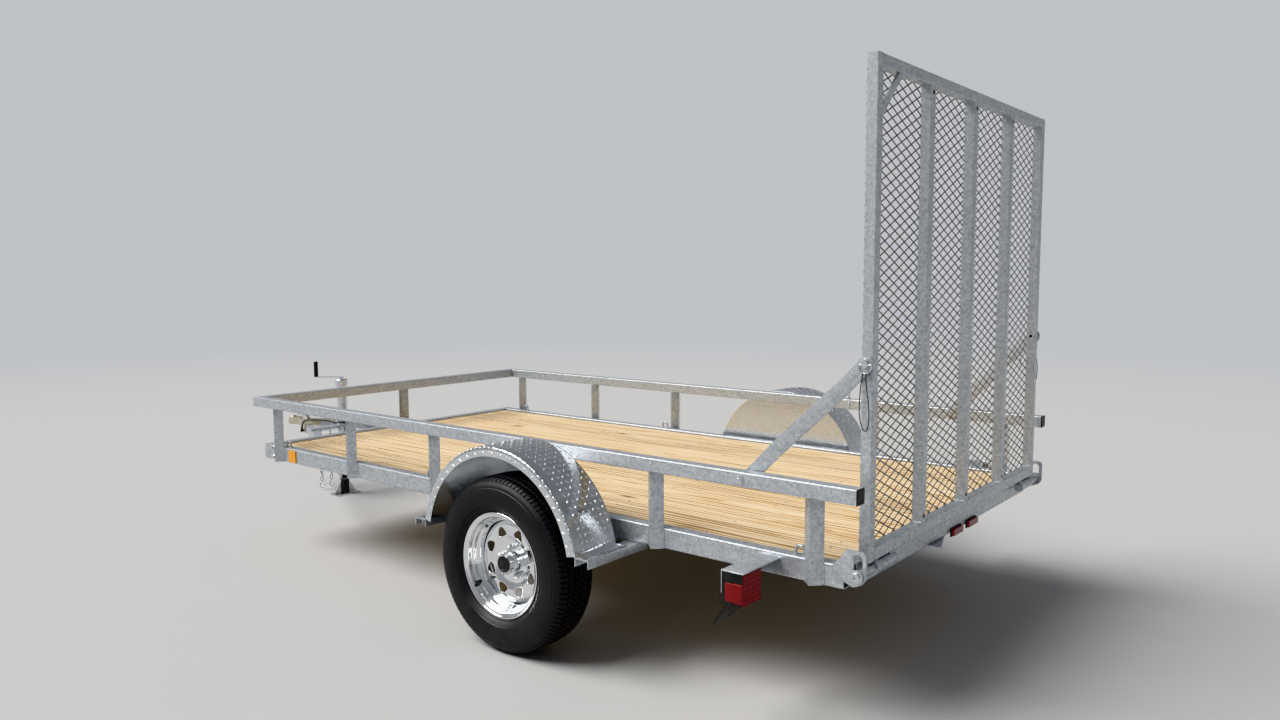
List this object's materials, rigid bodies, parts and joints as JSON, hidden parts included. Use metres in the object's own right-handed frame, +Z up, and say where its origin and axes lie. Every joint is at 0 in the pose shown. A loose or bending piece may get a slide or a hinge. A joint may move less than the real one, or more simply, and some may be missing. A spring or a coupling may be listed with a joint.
{
  "type": "utility trailer",
  "caption": "Open single-axle utility trailer with plank deck, tube top rails, round fenders, tall mesh ramp gate at the rear and a jack on its tongue.",
  "frame": {"origin": "on the ground, under the middle of the overall length and width", "axes": "+X towards the coupler, +Y to the left side, +Z up"},
  "size_m": [4.82, 2.36, 2.118],
  "materials": {
    "galvanised_steel": "hot-dip galvanised, spangled",
    "pine_boards": "planed softwood, dry",
    "zinc_plate": "bright zinc plate",
    "yellow_zinc": "yellow zinc plate",
    "black_steel": "black paint",
    "black_rubber": "moulded",
    "tread_plate": "bright tread plate",
    "smooth_sheet": "mill finish sheet",
    "black_plastic": "moulded",
    "red_lens": "moulded lens",
    "amber_lens": "moulded lens",
    "tyre_rubber": "road tyre",
    "silver_rim": "silver paint"
  },
  "bodies": {
    "chassis": {"side_rail_left": "galvanised_steel", "side_rail_right": "galvanised_steel", "front_sill": "galvanised_steel", "rear_sill": "galvanised_steel", "crossmembers": "galvanised_steel", "top_rail_left": "galvanised_steel", "top_rail_right": "galvanised_steel", "top_rail_front": "galvanised_steel", "posts_left": "galvanised_steel", "posts_right": "galvanised_steel", "post_front": "galvanised_steel", "tongue_left": "galvanised_steel", "tongue_right": "galvanised_steel", "axle_beam": "galvanised_steel", "fender_brackets": "galvanised_steel", "hinge_plates": "galvanised_steel", "jack_mount": "galvanised_steel", "d_rings": "galvanised_steel", "lamp_brackets": "galvanised_steel", "deck_boards": "pine_boards", "coupler_latch": "zinc_plate", "jack_body": "zinc_plate", "jack_foot": "zinc_plate", "jack_crank": "zinc_plate", "arm_bolts": "zinc_plate", "spring_hangers": "zinc_plate", "spring_clamps": "zinc_plate", "safety_chains": "zinc_plate", "coupler": "yellow_zinc", "jack_leg": "black_steel", "leaf_springs": "black_steel", "jack_grip": "black_rubber", "wiring_lead": "black_rubber", "fender_skin_left": "tread_plate", "fender_skin_right": "tread_plate", "fender_back_left": "smooth_sheet", "fender_back_right": "smooth_sheet", "rail_caps": "black_plastic", "lamp_housings": "black_plastic", "lead_gland": "black_plastic", "lead_plug": "black_plastic", "lamp_lenses": "red_lens", "id_light_bar": "red_lens", "side_reflectors": "amber_lens"},
    "wheel_left": {"tyre_left": "tyre_rubber", "rim_left": "silver_rim", "hub_left": "zinc_plate"},
    "wheel_right": {"tyre_right": "tyre_rubber", "rim_right": "silver_rim", "hub_right": "zinc_plate"},
    "gate": {"gate_frame": "galvanised_steel", "gate_uprights": "galvanised_steel", "gate_brace": "galvanised_steel", "gate_mesh_rising": "galvanised_steel", "gate_mesh_falling": "galvanised_steel", "gate_hinges": "galvanised_steel"},
    "arm_left": {"support_arm_left": "galvanised_steel", "gate_pin_left": "zinc_plate"},
    "arm_right": {"support_arm_right": "galvanised_steel", "gate_pin_right": "zinc_plate"}
  },
  "joints": [
    {"name": "wheel_left_spin", "type": "hinge", "parent": "chassis", "child": "wheel_left", "pos_m": [-1.02, 1.0745, 0.344], "axis": [0, 1, 0], "continuous": true},
    {"name": "wheel_right_spin", "type": "hinge", "parent": "chassis", "child": "wheel_right", "pos_m": [-1.02, -1.0745, 0.344], "axis": [0, 1, 0], "continuous": true},
    {"name": "gate_fold", "type": "hinge", "parent": "chassis", "child": "gate", "pos_m": [-2.382, 0, 0.517], "axis": [0, -1, 0], "range_deg": [0, 108]},
    {"name": "arm_left_swing", "type": "hinge", "parent": "chassis", "child": "arm_left", "pos_m": [-1.978, 0.892, 0.7745], "axis": [0, 1, 0], "range_deg": [0, 134]},
    {"name": "arm_right_swing", "type": "hinge", "parent": "chassis", "child": "arm_right", "pos_m": [-1.978, -0.892, 0.7745], "axis": [0, 1, 0], "range_deg": [0, 134]}
  ]
}
